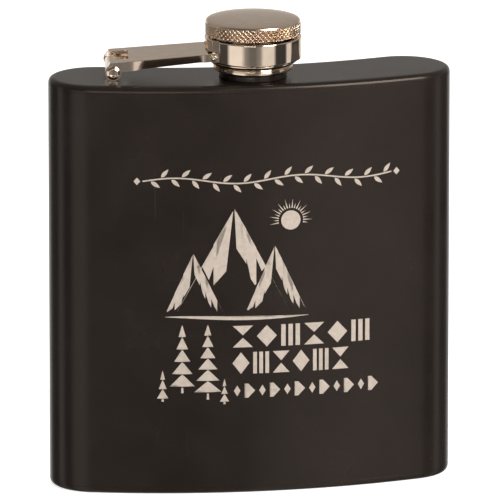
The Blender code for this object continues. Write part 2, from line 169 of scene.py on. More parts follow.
def coating_material():
    """Black powder coat: fine orange peel, soft patches of gloss, faint handling marks."""
    material, tree, shader, place = new_material("black_powder_coat")
    patches = fine_noise(tree, place, 70.0, 3.0)
    grain = fine_noise(tree, place, 5200.0, 2.0)
    peel = fine_noise(tree, place, 1500.0, 2.0, 0.5)
    marks = scratches(tree, place, 1.2, 1400.0, 0.79)
    more_marks = scratches(tree, place, -0.8, 1100.0, 0.80)
    all_marks = maths(tree, "ADD", marks, more_marks, True)
    tint = ramp(tree, patches, [(0.3, (0.0105, 0.0079, 0.0068)), (0.7, (0.0140, 0.0105, 0.0090))])
    speck = ramp(tree, grain, [(0.35, 0.82), (0.65, 1.2)])
    speckled = mixed_colour(tree, 1.0, tint, speck, "MULTIPLY")
    worn = mixed_colour(tree, maths(tree, "MULTIPLY", all_marks, 0.10), speckled, (0.075, 0.066, 0.06, 1.0))
    gloss = ramp(tree, patches, [(0.3, 0.22), (0.7, 0.28)])
    normal = bump(tree, peel, 0.22, 0.00002)
    normal = bump(tree, grain, 0.25, 0.000008, normal)
    connect(tree, shader, Base_Color=worn, Roughness=gloss, Normal=normal,
            Specular_IOR_Level=0.29, Specular_Tint=(1.0, 0.86, 0.76, 1.0))
    return material


def round_lines(tree, place, centre, pitch):
    """A value that follows circles round an upright axis, for turned and spun metal."""
    moved = add(tree, "VectorMath", {0: place, 1: centre}, operation="SUBTRACT").outputs[0]
    parts = add(tree, "SeparateXYZ", {0: moved}).outputs
    flat = add(tree, "CombineXYZ", {"X": parts[0], "Y": parts[1]}).outputs[0]
    radius = add(tree, "VectorMath", {0: flat}, operation="LENGTH").outputs["Value"]
    angle = maths(tree, "ARCTAN2", parts[1], parts[0])
    lines = add(tree, "CombineXYZ", {"X": maths(tree, "MULTIPLY", radius, 1.0 / pitch),
                                     "Y": maths(tree, "MULTIPLY", angle, 1.2),
                                     "Z": maths(tree, "MULTIPLY", parts[2], 1.0 / pitch)})
    return lines.outputs[0]


def metal_material(name, tone, rough, lines_of, depth, wear=0.0):
    """Bright metal: brushed or turned lines, small stains, a little unevenness of gloss."""
    material, tree, shader, place = new_material(name)
    lines = fine_noise(tree, lines_of(tree, place), 1.0, 2.0, 0.6)
    stains = fine_noise(tree, place, 420.0, 4.0, 0.6)
    dust = fine_noise(tree, place, 2600.0, 2.0, 0.5)
    low = tuple(value * 0.93 for value in tone)
    high = tuple(min(1.0, value * 1.04) for value in tone)
    colour = ramp(tree, stains, [(0.3, low), (0.7, high)])
    level = maths(tree, "ADD", maths(tree, "MULTIPLY", lines, rough * 0.5),
                  maths(tree, "MULTIPLY", stains, rough * 0.35))
    level = maths(tree, "ADD", level, maths(tree, "MULTIPLY", dust, wear))
    level = maths(tree, "ADD", level, rough * 0.55)
    normal = bump(tree, lines, 0.35, depth)
    connect(tree, shader, Base_Color=colour, Metallic=1.0, Roughness=level, Normal=normal)
    return material


def paint_pit_shade(material):
    """Painted shade in the pits of the knurl, by their distance from the neck's axis."""
    tree = material.node_tree
    shader = tree.nodes["Principled BSDF"]
    place = add(tree, "TexCoord").outputs["Object"]
    moved = add(tree, "VectorMath", {0: place, 1: NECK_CENTRE}, operation="SUBTRACT").outputs[0]
    flat = add(tree, "VectorMath", {0: moved, 1: (1.0, 1.0, 0.0)}, operation="MULTIPLY").outputs[0]
    radius = add(tree, "VectorMath", {0: flat}, operation="LENGTH").outputs["Value"]
    share = add(tree, "MapRange", {"Value": radius, "From Min": PIT_RADIUS * MM,
                                   "From Max": RIDGE_RADIUS * MM}).outputs[0]
    # painted shade: brown in the pits, fading to white (no change) at the ridges
    tone = ramp(tree, share, [(0.0, (0.56, 0.47, 0.39)), (0.35, (0.95, 0.93, 0.91)),
                              (1.0, (1.0, 1.0, 1.0))])
    socket = shader.inputs["Base Color"]
    tree.links.new(mixed_colour(tree, 1.0, socket.links[0].from_socket, tone, "MULTIPLY"), socket)


def etched_material():
    """Laser-marked steel: pale and matt, with the marking's close parallel lines."""
    material, tree, shader, place = new_material("etched_steel")
    raster = add(tree, "TexWave", {"Vector": place, "Scale": 1500.0, "Distortion": 0.6,
                                   "Detail": 1.0}, bands_direction="Z").outputs["Fac"]
    patches = fine_noise(tree, place, 900.0, 3.0)
    colour = ramp(tree, patches, [(0.3, (0.43, 0.372, 0.322)), (0.7, (0.52, 0.455, 0.40))])
    level = ramp(tree, raster, [(0.0, 0.52), (1.0, 0.66)])
    normal = bump(tree, raster, 0.3, 0.00001)
    connect(tree, shader, Base_Color=colour, Metallic=0.35, Roughness=level, Normal=normal)
    return material


def seal_material():
    material, tree, shader, place = new_material("seal_rubber")
    cloud = fine_noise(tree, place, 600.0, 3.0)
    colour = ramp(tree, cloud, [(0.3, (0.62, 0.60, 0.55)), (0.7, (0.72, 0.71, 0.67))])
    level = ramp(tree, cloud, [(0.3, 0.5), (0.7, 0.66)])
    normal = bump(tree, fine_noise(tree, place, 2500.0), 0.3, 0.00002)
    connect(tree, shader, Base_Color=colour, Roughness=level, Normal=normal)
    return material



def turned(pitch):
    return lambda tree, place: round_lines(tree, place, NECK_CENTRE, pitch)


def along_arm(pitch):
    def lines(tree, place):
        turn = add(tree, "Mapping", {"Vector": place, "Rotation": (0.0, 0.0, YAW)}).outputs[0]
        return add(tree, "Mapping", {"Vector": turn, "Scale": (0.03 / pitch, 1 / pitch, 1 / pitch)}
                   ).outputs[0]
    return lines


NICKEL = (0.80, 0.665, 0.535)
coating = coating_material()
cap_metal = metal_material("satin_cap_nickel", NICKEL, 0.22, turned(0.00012), 0.000004)
knurl_metal = metal_material("knurled_nickel", (0.86, 0.715, 0.575), 0.11, turned(0.0003), 0.000002)
paint_pit_shade(knurl_metal)
ring_metal = metal_material("polished_nickel", (0.86, 0.715, 0.575), 0.05, turned(0.0004), 0.0000012)
arm_metal = metal_material("brushed_arm_nickel", NICKEL, 0.16, along_arm(0.0001), 0.000004, 0.03)
pin_metal = metal_material("pin_nickel", (0.84, 0.70, 0.57), 0.08, turned(0.0003), 0.000002)
neck_metal = metal_material("turned_steel", (0.36, 0.345, 0.325), 0.26, turned(0.0002), 0.000004)
etched = etched_material()
seal = seal_material()


# ---------------------------------------------------------------- pieces

def make_piece(name, mesh_data, material, body, nodes=(), place=None, sharp=32.0):
    """A finished piece from a bmesh drawn in millimetres."""
    if place is not None:
        bmesh.ops.transform(mesh_data, matrix=place, verts=mesh_data.verts)
    bmesh.ops.scale(mesh_data, verts=mesh_data.verts, vec=(MM, MM, MM))
    bmesh.ops.recalc_face_normals(mesh_data, faces=mesh_data.faces)
    mesh = bpy.data.meshes.new(name)
    mesh_data.to_mesh(mesh)
    mesh_data.free()
    mesh.shade_smooth()
    mesh.set_sharp_from_angle(angle=math.radians(sharp))
    mesh.materials.append(material)
    piece = bpy.data.objects.new(name, mesh)
    bpy.context.scene.collection.objects.link(piece)
    normals = piece.modifiers.new("flat_faces_stay_flat", "WEIGHTED_NORMAL")
    normals.keep_sharp = True
    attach(piece, body)
    if nodes:
        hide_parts(*nodes)
    return piece


def filleted(corners, closed):
    """A profile from corners (a, b, radius), each rounded to its radius."""
    count = len(corners)
    points = []
    for index, (a, b, radius) in enumerate(corners):
        here = Vector((a, b))
        inner = closed or 0 < index < count - 1
        if radius <= 0 or not inner:
            points.append((a, b))
            continue
        before = (Vector(corners[index - 1][:2]) - here).normalized()
        after = (Vector(corners[(index + 1) % count][:2]) - here).normalized()
        half = before.angle(after) / 2
        reach = radius / math.tan(half)
        start, end = here + before * reach, here + after * reach
        steps = 6
        for step in range(steps + 1):
            t = step / steps
            points.append(tuple(start * (1 - t) ** 2 + here * 2 * t * (1 - t) + end * t ** 2))
    return points


def skin(loops, closed_profile, ends):
    """Quads between rings of points; ends says whether the first and last ring get a face."""
    made = bmesh.new()
    rows = [[made.verts.new(point) for point in loop] for loop in loops]
    pairs = list(zip(rows, rows[1:]))
    if closed_profile:
        pairs.append((rows[-1], rows[0]))
    for low, high in pairs:
        for index in range(len(low)):
            after = (index + 1) % len(low)
            made.faces.new((low[index], low[after], high[after], high[index]))
    if ends:
        made.faces.new(rows[0])
        made.faces.new(rows[-1])
    return made


def lathe(profile, closed, steps):
    """A profile of radii and heights turned round Z; a radius of 0 closes it on the axis."""
    made = bmesh.new()
    verts = [made.verts.new((radius, 0.0, height)) for radius, height in profile]
    edges = [made.edges.new(pair) for pair in zip(verts, verts[1:])]
    if closed:
        edges.append(made.edges.new((verts[-1], verts[0])))
    bmesh.ops.spin(made, geom=verts + edges, cent=(0, 0, 0), axis=(0, 0, 1),
                   angle=2 * math.pi, steps=steps, use_merge=True, use_duplicate=False)
    bmesh.ops.remove_doubles(made, verts=made.verts, dist=0.0005)
    return made


def arc(cx, cy, radius, start, end, steps):
    return [(cx + radius * math.cos(start + (end - start) * i / steps),
             cy + radius * math.sin(start + (end - start) * i / steps)) for i in range(steps)]


def circle(radius, height, steps):
    return [(radius * math.cos(2 * math.pi * i / steps), radius * math.sin(2 * math.pi * i / steps),
             height) for i in range(steps)]


def section(inset):
    """The flask's bowed outline from above, moved inwards by inset."""
    half = END - inset
    right = math.pi / 2
    ends = NECK_Y + END_SAG
    points = arc(0.0, NECK_Y + BOW, BOW + half, -right - END_ANGLE, -right + END_ANGLE, 96)
    points += arc(END_X, ends, half, -right + END_ANGLE, right + END_ANGLE, 40)
    points += arc(0.0, NECK_Y + BOW, BOW - half, -right + END_ANGLE, -right - END_ANGLE, 84)
    points += arc(-END_X, ends, half, right - END_ANGLE, 3 * right - END_ANGLE, 40)
    return points


def ring_row(inset, height):
    return [(x, y, height) for x, y in section(inset)]


def toward_hole(inset, height, radius, share):
    """A row part of the way from the outline to a round hole about the neck."""
    points = []
    for x, y in section(inset):
        angle = math.atan2(y - NECK_Y, x)
        hole_x, hole_y = radius * math.cos(angle), NECK_Y + radius * math.sin(angle)
        points.append((x + (hole_x - x) * share, y + (hole_y - y) * share, height))
    return points


def make_wall():
    low, high = SEAM, HEIGHT - SEAM
    corners = [(0.0, low, 0.05), (0.0, high, 0.05), (WALL, high, 0.0), (WALL, low, 0.0)]
    loops = [ring_row(inset, height) for inset, height in filleted(corners, True)]
    tall = []
    for loop, after in zip(loops, loops[1:] + loops[:1]):
        tall.append(loop)
        span = after[0][2] - loop[0][2]
        if abs(span) > 10:
            for step in range(1, 24):
                share = step / 24
                tall.append([(a[0] + (b[0] - a[0]) * share, a[1] + (b[1] - a[1]) * share,
                              a[2] + (b[2] - a[2]) * share) for a, b in zip(loop, after)])
    make_piece("body_wall_skin", skin(tall, True, False), coating, "flask", ["body_wall"])


def make_shoulder():
    top, seam = HEIGHT, HEIGHT - SEAM + 0.01
    outer = filleted([(WALL, seam, 0.0), (0.0, seam, 0.05), (0.0, top, ROUND), (4.0, top, 0.0)], False)
    loops = [ring_row(inset, height) for inset, height in outer[:-1]]
    hole = 7.2
    for share in (0.15, 0.35, 0.55, 0.75, 0.92, 1.0):
        loops.append(toward_hole(ROUND, top, hole, share))
    for share in (1.0, 0.92, 0.55, 0.15):
        loops.append(toward_hole(ROUND, top - WALL, hole, share))
    inner = filleted([(ROUND, top - WALL, 0.0), (WALL, top - WALL, ROUND - WALL), (WALL, seam + 0.02, 0.0)],
                     False)
    loops += [ring_row(inset, height) for inset, height in inner]
    make_piece("shoulder_skin", skin(loops, True, False), coating, "flask",
               ["shoulder_pan"])


def make_base():
    seam = SEAM - 0.01
    dish = 0.35
    outer = filleted([(WALL, seam, 0.0), (0.0, seam, 0.05), (0.0, 0.0, ROUND), (3.0, 0.0, 0.8),
                      (3.6, dish, 0.5), (6.0, dish, 0.0)], False)
    inner = filleted([(6.0, WALL + dish, 0.0), (WALL, WALL + dish, 0.5),
                      (WALL, seam - 0.02, 0.0)], False)
    loops = [ring_row(inset, height) for inset, height in reversed(inner)]
    made = [ring_row(inset, height) for inset, height in reversed(outer)]
    make_piece("base_skin", skin(made + loops, False, True), coating, "flask",
               ["base_pan"])


def screw_neck():
    """The neck: a coated foot collar, a right-handed thread and a rounded mouth."""
    steps = 120
    bore, root, crest = 6.0, 6.9, 7.5
    pitch, first, turns, top = 1.4, 1.9, 2.75, 7.4
    heights = [index * 0.1 for index in range(17, 71)]
    loops = []
    for height in heights:
        loop = []
        for step in range(steps):
            angle = 2 * math.pi * step / steps
            along = (height - first) / pitch - step / steps
            phase = along - math.floor(along)
            begun = max(0.0, min(1.0, (along + step / steps) * 6))
            fade = min(1.0, max(0.0, (turns - along) * 4)) * begun * (1.0 if along > -0.2 else 0.0)
            ridge = max(0.0, min(1.0, 1.55 - abs(phase - 0.5) * 4.2)) * fade
            radius = root + (crest - root) * ridge
            loop.append((radius * math.cos(angle), radius * math.sin(angle), height))
        loops.append(loop)

    lip = filleted([(root, 7.1, 0.0), (root, top, 0.3), (bore, top, 0.3), (bore, 6.6, 0.0)], False)
    bottom = [(bore, -2.0), (root, -2.0), (root, 0.3)]
    foot = filleted([(root, 0.3, 0.0), (7.8, 0.3, 0.1), (7.8, 1.3, 0.2), (root, 1.6, 0.0)], False)
    loops += [circle(radius, height, steps) for radius, height in lip[1:]]
    low = [circle(radius, height, steps) for radius, height in bottom + foot[1:]]
    return skin(low + loops, True, False)


def make_neck():
    make_piece("screw_neck", screw_neck(), neck_metal, "flask", ["neck"], LINKAGE)
    collar = filleted([(7.15, 0.05, 0.0), (8.0, 0.05, 0.12), (7.86, 1.42, 0.25), (7.15, 1.42, 0.0)], True)
    make_piece("neck_collar", lathe(collar, True, 128), coating, "flask", place=ON_NECK)


def knurl(angle, height, count, low):
    """Depth of the pits between the crossed ridges at one place on the cap's side, from 0 to 1."""
    around = angle * count / (2 * math.pi)
    up = (height - low) / KNURL_PITCH
    one = abs((around + up) % 1.0 - 0.5) * 2
    two = abs((around - up) % 1.0 - 0.5) * 2
    return min(1.0, max(0.0, (0.84 - max(one, two)) / 0.42))


def make_cap():
    radius, low, rim, top = 11.15, 10.1, 13.1, 14.1
    count = 56
    steps = count * 14
    rows = 44
    loops = []
    for row in range(rows + 1):
        height = low + 0.22 + (rim - 0.04 - low - 0.22) * row / rows
        edge = min(1.0, row / 2.0, (rows - row) / 2.0)
        loop = []
        for step in range(steps):
            angle = 2 * math.pi * step / steps
            r = radius - 0.02 - KNURL_DEPTH * knurl(angle, height, count, low) * edge
            loop.append((r * math.cos(angle), r * math.sin(angle), height))
        loops.append(loop)
    inside = 10.3

    dome = [(11.10, 13.14), (11.05, 13.3), (10.95, 13.48), (10.78, 13.63), (10.5, 13.74),
            (10.1, 13.82), (9.0, 13.91), (7.5, 13.985), (5.5, 14.045), (3.0, 14.085), (1.0, top)]
    under = [(1.0, top - 0.85), (inside, top - 0.85), (inside, low), (10.75, low), (10.95, low + 0.06)]
    loops = ([circle(*point, steps) for point in under[1:]] + loops
             + [circle(*point, steps) for point in dome])
    made = skin(loops, False, True)
    shell = make_piece("cap_shell_knurled", made, cap_metal, "cap", ["cap_shell"],
                       ON_NECK, 40.0)
    shell.data.materials.append(knurl_metal)
    limit_low, limit_high = (HEIGHT + low - 1) * MM, (HEIGHT + 13.2) * MM
    for face in shell.data.polygons:
        if limit_low < face.center.z < limit_high and abs(face.normal.z) < 0.95:
            face.material_index = 1


def make_core():
    flange_top = 4.2
    corners = [(0.0, 9.5, 0.0), (8.0, 9.5, 0.0), (8.0, 12.9, 0.0), (10.0, 12.9, 0.0), (10.0, 10.4, 0.0),
               (9.2, 10.1, 0.0), (9.2, flange_top, 0.0), (10.3, flange_top, 0.12), (10.3, 3.9, 0.15),
               (8.95, 2.72, 0.12), (9.28, 2.5, 0.1), (9.28, 1.9, 0.18), (8.5, 1.9, 0.1), (8.3, 2.3, 0.0)]
    ridges = []
    for turn in range(3):
        height = 3.2 + 1.4 * turn
        ridges += [(8.3, height - 0.53, 0.0), (7.85, height - 0.1, 0.08), (7.85, height + 0.1, 0.08),
                   (8.3, height + 0.53, 0.0)]
    corners += ridges + [(8.3, 9.15, 0.0), (0.0, 9.15, 0.0)]
    profile = filleted(corners, False)
    make_piece("cap_core_turned", lathe(profile, False, 160), ring_metal, "cap",
               ["cap_core"], ON_NECK)


def make_seal():
    profile = filleted([(0.0, 8.9, 0.0), (8.0, 8.9, 0.3), (8.0, 7.7, 0.3), (6.9, 7.7, 0.1), (6.7, 7.85, 0.1),
                        (6.2, 7.85, 0.1), (6.0, 7.7, 0.1), (0.0, 7.7, 0.0)], False)
    make_piece("cap_seal", lathe(profile, False, 96), seal, "cap", ["cap_gasket"], ON_NECK)


# ---------------------------------------------------------------- cut and rounded pieces

def temporary(name, made):
    mesh = bpy.data.meshes.new(name)
    bmesh.ops.recalc_face_normals(made, faces=made.faces)
    made.to_mesh(mesh)
    made.free()
    holder = bpy.data.objects.new(name, mesh)
    bpy.context.scene.collection.objects.link(holder)
    return holder


def cut_and_round(made, tools, width, segments, angle=35.0, joined=None):
    """Cuts the tools from a bmesh, rounds what edges are left sharp and gives back a bmesh."""
    piece = temporary("blank", made)
    cutters = [temporary("tool", tool) for tool in tools]
    for cutter in cutters:
        boolean = piece.modifiers.new("cut", "BOOLEAN")
        boolean.operation = "DIFFERENCE"
        boolean.solver = "EXACT"
        boolean.object = cutter
    if joined is not None:
        cutters.append(temporary("joined", joined))
        boolean = piece.modifiers.new("join", "BOOLEAN")
        boolean.operation = "UNION"
        boolean.solver = "EXACT"
        boolean.object = cutters[-1]
    if width:
        weld = piece.modifiers.new("weld", "WELD")
        weld.merge_threshold = 0.002
        bevel = piece.modifiers.new("bevel", "BEVEL")
        bevel.width = width
        bevel.segments = segments
        bevel.limit_method = "ANGLE"
        bevel.angle_limit = math.radians(angle)
    depsgraph = bpy.context.evaluated_depsgraph_get()
    mesh = bpy.data.meshes.new_from_object(piece.evaluated_get(depsgraph))
    result = bmesh.new()
    result.from_mesh(mesh)
    for holder in [piece] + cutters:
        data = holder.data
        bpy.data.objects.remove(holder, do_unlink=True)
        bpy.data.meshes.remove(data)
    bpy.data.meshes.remove(mesh)
    return result


def prism(points, half):
    """A side outline in X and Z, as wide as half(x) says on both sides."""
    front = [(x, -half(x), z) for x, z in points]
    back = [(x, half(x), z) for x, z in points]
    return skin([front, back], False, True)


def box_of(low, high):
    made = bmesh.new()
    bmesh.ops.create_cube(made, size=1.0)
    bmesh.ops.scale(made, verts=made.verts, vec=[h - l for l, h in zip(low, high)])
    bmesh.ops.translate(made, verts=made.verts, vec=[(h + l) / 2 for l, h in zip(low, high)])
    return made


def cross_bar(axis, radius, low, high, steps=48):
    """A round bar across the arm, from one Y to another."""
    rounds = [(axis[0] + radius * math.cos(2 * math.pi * i / steps),
               axis[1] + radius * math.sin(2 * math.pi * i / steps)) for i in range(steps)]
    return skin([[(x, low, z) for x, z in rounds], [(x, high, z) for x, z in rounds]], False, True)


def arm_top(x):
    return ARM_TOP[0] + (ARM_TOP[1] - ARM_TOP[0]) * (x - PIVOT[0]) / (HINGE[0] - PIVOT[0])


def arm_half(x):
    return ARM_HALF[0] + (ARM_HALF[1] - ARM_HALF[0]) * (x - PIVOT[0]) / (HINGE[0] - PIVOT[0])


def rest_flat(x, inset):
    slope = math.pi - OPEN
    return HINGE[1] + (REST - inset) / math.cos(slope) - (x - HINGE[0]) * math.tan(slope)


def flat_start(inset):
    low, high = HINGE[0] - 5, HINGE[0] + 5
    for _ in range(40):
        middle = (low + high) / 2
        if rest_flat(middle, inset) > arm_top(middle) - inset:
            low = middle
        else:
            high = middle
    return low


def arm_profile(ear):
    slope = math.pi - OPEN
    tangent = math.pi / 2 - slope
    start = flat_start(0.0)
    points = arc(*PIVOT, 1.0, math.radians(250), math.radians(105), 16)
    points.append((start, arm_top(start)))
    points.append((HINGE[0] + REST * math.cos(tangent), HINGE[1] + REST * math.sin(tangent)))
    points += arc(*HINGE, ear, tangent - 0.3, math.radians(-195), 40)
    points.append((HINGE[0] - ear - 0.6, arm_top(HINGE[0] - ear) - FLANGE_DEPTH[2]))
    points.append((24.0, arm_top(24.0) - FLANGE_DEPTH[1]))
    points.append((ARM_END, arm_top(ARM_END) - FLANGE_DEPTH[0]))
    return points


def lean_flanges(made):
    """Leans the channel's sides inwards below the bend, between the two pairs of ears."""
    for step in range(34):
        place = 10.6 + step * 0.6
        geometry = made.verts[:] + made.edges[:] + made.faces[:]
        bmesh.ops.bisect_plane(made, geom=geometry, dist=0.0001, plane_co=(place, 0, 0),
                               plane_no=(1, 0, 0))
    for vertex in made.verts:
        x, y, z = vertex.co
        drop = arm_top(x) - 0.40 - z
        share = min(1.0, max(0.0, (x - 10.8) / 2.0)) * min(1.0, max(0.0, (28.6 - x) / 3.2))
        share = share * share * (3 - 2 * share)
        if drop > 0:
            vertex.co.y = y - math.copysign(min(drop, 2.4) * 0.50 * share, y)


def make_arm():
    """A channel pressed from sheet: rounded bends, a slot for the knuckle, an ear at each corner."""
    blank = cut_and_round(prism(arm_profile(1.95), arm_half), [], 0.0, 1)
    long_edges = []
    for edge in blank.edges:
        a, b = edge.verts
        along = abs(a.co.x - b.co.x) > 3.0 and a.co.y * b.co.y > 0
        if along and (a.co.z + b.co.z) / 2 > arm_top((a.co.x + b.co.x) / 2) - 0.3:
            long_edges.append(edge)
    bmesh.ops.bevel(blank, geom=long_edges, offset=0.42, segments=6, profile=0.5, affect="EDGES")
    start, far, near = flat_start(SHEET), HINGE[0] + 7, PIVOT[0] - 4
    under = [(near, arm_top(near) - SHEET), (start, arm_top(start) - SHEET),
             (far, rest_flat(far, SHEET)), (far, -7.0), (near, -7.0)]
    channel = prism(under, lambda x: arm_half(x) - SHEET)
    for side_wall in (blank, channel):
        lean_flanges(side_wall)
    gate_half = ARM_HALF[0] - SHEET
    gate = box_of((0.0, -gate_half, 0.0), (ARM_END, gate_half, 20.0))
    slot = box_of((SLOT_START, -SLOT_HALF, 0.0), (60.0, SLOT_HALF, 20.0))
    corners = [edge for edge in slot.edges
               if all(abs(vertex.co.x - SLOT_START) < 0.01 for vertex in edge.verts)
               and abs(edge.verts[0].co.z - edge.verts[1].co.z) > 1]
    bmesh.ops.bevel(slot, geom=corners, offset=0.7, segments=6, profile=0.5, affect="EDGES")
    hinge_hole = cross_bar(HINGE, 0.8, -9, 9)
    ring_hole = cross_bar(PIVOT, 0.6, -9, 9)
    made = cut_and_round(blank, [channel, gate, slot, hinge_hole, ring_hole], 0.11, 3)
    make_piece("arm_channel", made, arm_metal, "arm", ["arm"], LINKAGE, 40.0)


def make_bracket():
    reach, leaf_low, leaf_high = LEAF
    meet = -math.acos(FOOT_HALF / KNUCKLE)
    join = math.pi - math.asin((leaf_high - HINGE[1]) / KNUCKLE)
    points = [(HINGE[0] - FOOT_HALF, 0.0), (HINGE[0] + FOOT_HALF, 0.0)]
    points += arc(*HINGE, KNUCKLE, meet, join, 40)
    points += [(HINGE[0] - reach, leaf_high), (HINGE[0] - reach, leaf_low),
               (HINGE[0] - FOOT_HALF, leaf_low)]
    bore = cross_bar(HINGE, 0.85, -9, 9)
    made = cut_and_round(prism(points, lambda x: KNUCKLE_HALF), [bore], 0.16, 3)
    make_piece("hinge_knuckle", made, pin_metal, "flask", ["hinge_bracket"],
               LINKAGE, 40.0)


def headed(shank, head, inner, shoulder, dimple):
    """Half of a rivet, from its middle or its tip out to a domed head with a dimple."""
    top = shoulder + 0.55
    return filleted([(shank, inner, 0.0), (shank, shoulder, 0.03), (head, shoulder, 0.08),
                     (head, shoulder + 0.22, 0.18), (head * 0.62, top, 0.2), (dimple, top, 0.06),
                     (dimple * 0.8, top - 0.3, 0.1), (0.0, top - 0.34, 0.0)], False)


def make_pins():
    half = headed(0.6, 1.62, 0.0, ARM_HALF[1] + 0.08, 0.85)
    whole = [(r, -h) for r, h in reversed(half)][:-1] + half
    turn = Matrix.Translation((HINGE[0], 0.0, HINGE[1])) @ Matrix.Rotation(math.pi / 2, 4, "X")
    make_piece("hinge_pin_flared", lathe(whole, False, 64), pin_metal, "flask",
               ["hinge_pin"], LINKAGE @ turn, 40.0)
    for side, suffix in ((1, "front"), (-1, "back")):
        profile = [(0.0, 4.5)] + headed(0.4, 0.85, 4.5, ARM_HALF[0] + 0.1, 0.25)
        turn = (Matrix.Translation((PIVOT[0], 0.0, PIVOT[1]))
                @ Matrix.Rotation(-side * math.pi / 2, 4, "X"))
        make_piece("ring_rivet_domed_" + suffix, lathe(profile, False, 48), pin_metal, "ring",
                   ["ring_rivet_" + suffix], LINKAGE @ turn, 40.0)


def make_ring():
    """The polished band, flattened at its sides and nose to sit inside the arm's ears."""
    radius, bore, low, high = 11.35, 9.5, 4.5, 9.7
    profile = filleted([(radius, high, 0.42), (radius, low, 0.32), (bore, low, 0.15),
                        (bore, high, 0.15)], True)
    band = lathe(profile, True, 256)
    tools = [box_of((10.75, -30.0, 0.0), (30.0, 30.0, 8.2))]
    for side in (1, -1):
        low_y, high_y = sorted((side * RING_FLAT, side * 30.0))
        tools.append(box_of((8.1, low_y, 0.0), (30.0, high_y, 30.0)))
        ends = sorted((side * 4.3, side * 9.0))
        tools.append(cross_bar(PIVOT, 0.6, *ends))
    lip = box_of((10.1, -3.5, 4.6), (12.1, 3.5, 5.5))
    made = cut_and_round(band, tools, 0.07, 2, 50.0, lip)
    make_piece("swivel_ring_polished", made, ring_metal, "ring", ["swivel_ring"],
               LINKAGE, 30.0)


make_wall()
make_shoulder()
make_base()
make_neck()
make_cap()
make_core()
make_seal()
make_arm()
make_bracket()
make_pins()
make_ring()


# ---------------------------------------------------------------- etched picture

FRONT = BOW + END


def on_front(u, z, lift):
    """A place on the bowed front, u along the surface and z up."""
    angle = u / FRONT
    return ((FRONT + lift) * math.sin(angle), NECK_Y + BOW - (FRONT + lift) * math.cos(angle), z)


def stroke(points, width, taper=True):
    """A brush stroke along points, thin at its ends."""
    left, right = [], []
    count = len(points)
    for index, point in enumerate(points):
        before = Vector(points[max(index - 1, 0)])
        after = Vector(points[min(index + 1, count - 1)])
        along = (after - before).normalized()
        share = index / (count - 1)
        half = width / 2 * (math.sin(math.pi * min(1.0, max(0.0, share * 0.94 + 0.03))) if taper else 1.0)
        left.append((point[0] - along.y * half, point[1] + along.x * half))
        right.append((point[0] + along.y * half, point[1] - along.x * half))
    return left + right[::-1]


def strip(points, width):
    """A band of even width along points, as one four-sided shape for each step."""
    outline = stroke(points, width, False)
    count = len(points)
    left, right = outline[:count], outline[count:][::-1]
    return [[left[i], left[i + 1], right[i + 1], right[i]] for i in range(count - 1)]


def curve(a, b, c, d, steps=18):
    """Points along a cubic curve."""
    points = []
    for index in range(steps + 1):
        t = index / steps
        s = 1 - t
        points.append(tuple(a[k] * s ** 3 + 3 * b[k] * s * s * t + 3 * c[k] * s * t * t + d[k] * t ** 3
                            for k in (0, 1)))
    return points


def pine(x, foot, tall, tiers):
    """A pine as stacked boughs with a gap of bare surface between them."""
    shapes = []
    trunk = tall * 0.1
    for tier in range(tiers):
        share = tier / tiers
        half = tall * 0.155 * (1 - share) + tall * 0.02
        low = foot + trunk + (tall - trunk) * share
        high = low + (tall - trunk) / tiers * 1.25
        shapes.append([(x - half, low), (x - half * 0.45, low + (high - low) * 0.16),
                       (x, low - (high - low) * 0.02), (x + half * 0.45, low + (high - low) * 0.16),
                       (x + half, low),
                       (x + half * 0.22, low + (high - low) * 0.62), (x, low + (high - low) * 0.76),
                       (x - half * 0.22, low + (high - low) * 0.62)])
    shapes.append([(x - 0.3, foot), (x + 0.3, foot), (x + 0.22, foot + trunk * 0.8),
                   (x - 0.22, foot + trunk * 0.8)])
    return shapes


def ridge_height(x, peaks, base):
    """Height of the skyline of the nearer peaks at x."""
    tallest = base
    for centre, top, left, right in peaks:
        reach = left if x < centre else right
        tallest = max(tallest, top - (top - base) * abs(x - centre) / reach)
    return tallest


def peak(centre, top, left, right, base, nearer, shards):
    """A mountain cut into facets that fall from its summit, with bare gaps between them."""
    shapes = []
    for near, far, depth in shards:
        reach = left if far < 0 else right
        start, end = centre + near * reach, centre + far * reach
        bottom = []
        for index in range(9):
            share = index / 8
            x = end + (start - end) * share
            floor = ridge_height(x, nearer, base) + (0.9 if nearer else 0.0)
            slope = top - (top - base) * abs(x - centre) / reach
            notch = 0.55 * (index % 2)
            wanted = slope - (slope - base) * depth + notch + 1.1 * share
            bottom.append((x, min(slope, max(wanted, floor))))
        crest = 0.12
        first = (centre + near * reach * crest, top - (top - base) * abs(far) * crest)
        edge = (end, top - (top - base) * abs(far))
        outline = [first]
        if edge[1] - bottom[0][1] > 0.15:
            outline.append(edge)
        outline += bottom
        shapes.append(outline)
    return shapes


def sun(x, z, radius):
    shapes = []
    count = 20
    shapes.append([(x + radius * math.cos(2 * math.pi * i / 40), z + radius * math.sin(2 * math.pi * i / 40))
                   for i in range(40)])
    for index in range(count):
        angle = math.pi * (index / (count - 1)) * 1.12 - math.pi * 0.06
        long = radius * (2.25 if index % 2 else 1.8)
        near = radius * 1.28
        side = 0.055
        shapes.append([(x + near * math.cos(angle - side), z + near * math.sin(angle - side)),
                       (x + long * math.cos(angle), z + long * math.sin(angle)),
                       (x + near * math.cos(angle + side), z + near * math.sin(angle + side))])
    return shapes


def leaf(x, z, long, wide, angle):
    cos, sin = math.cos(angle), math.sin(angle)
    outline = []
    for index in range(9):
        t = index / 8
        outline.append((long * t, wide * math.sin(math.pi * t ** 0.8)))
    outline += [(a, -b) for a, b in reversed(outline[1:-1])]
    return [(x + a * cos - b * sin, z + a * sin + b * cos) for a, b in outline]


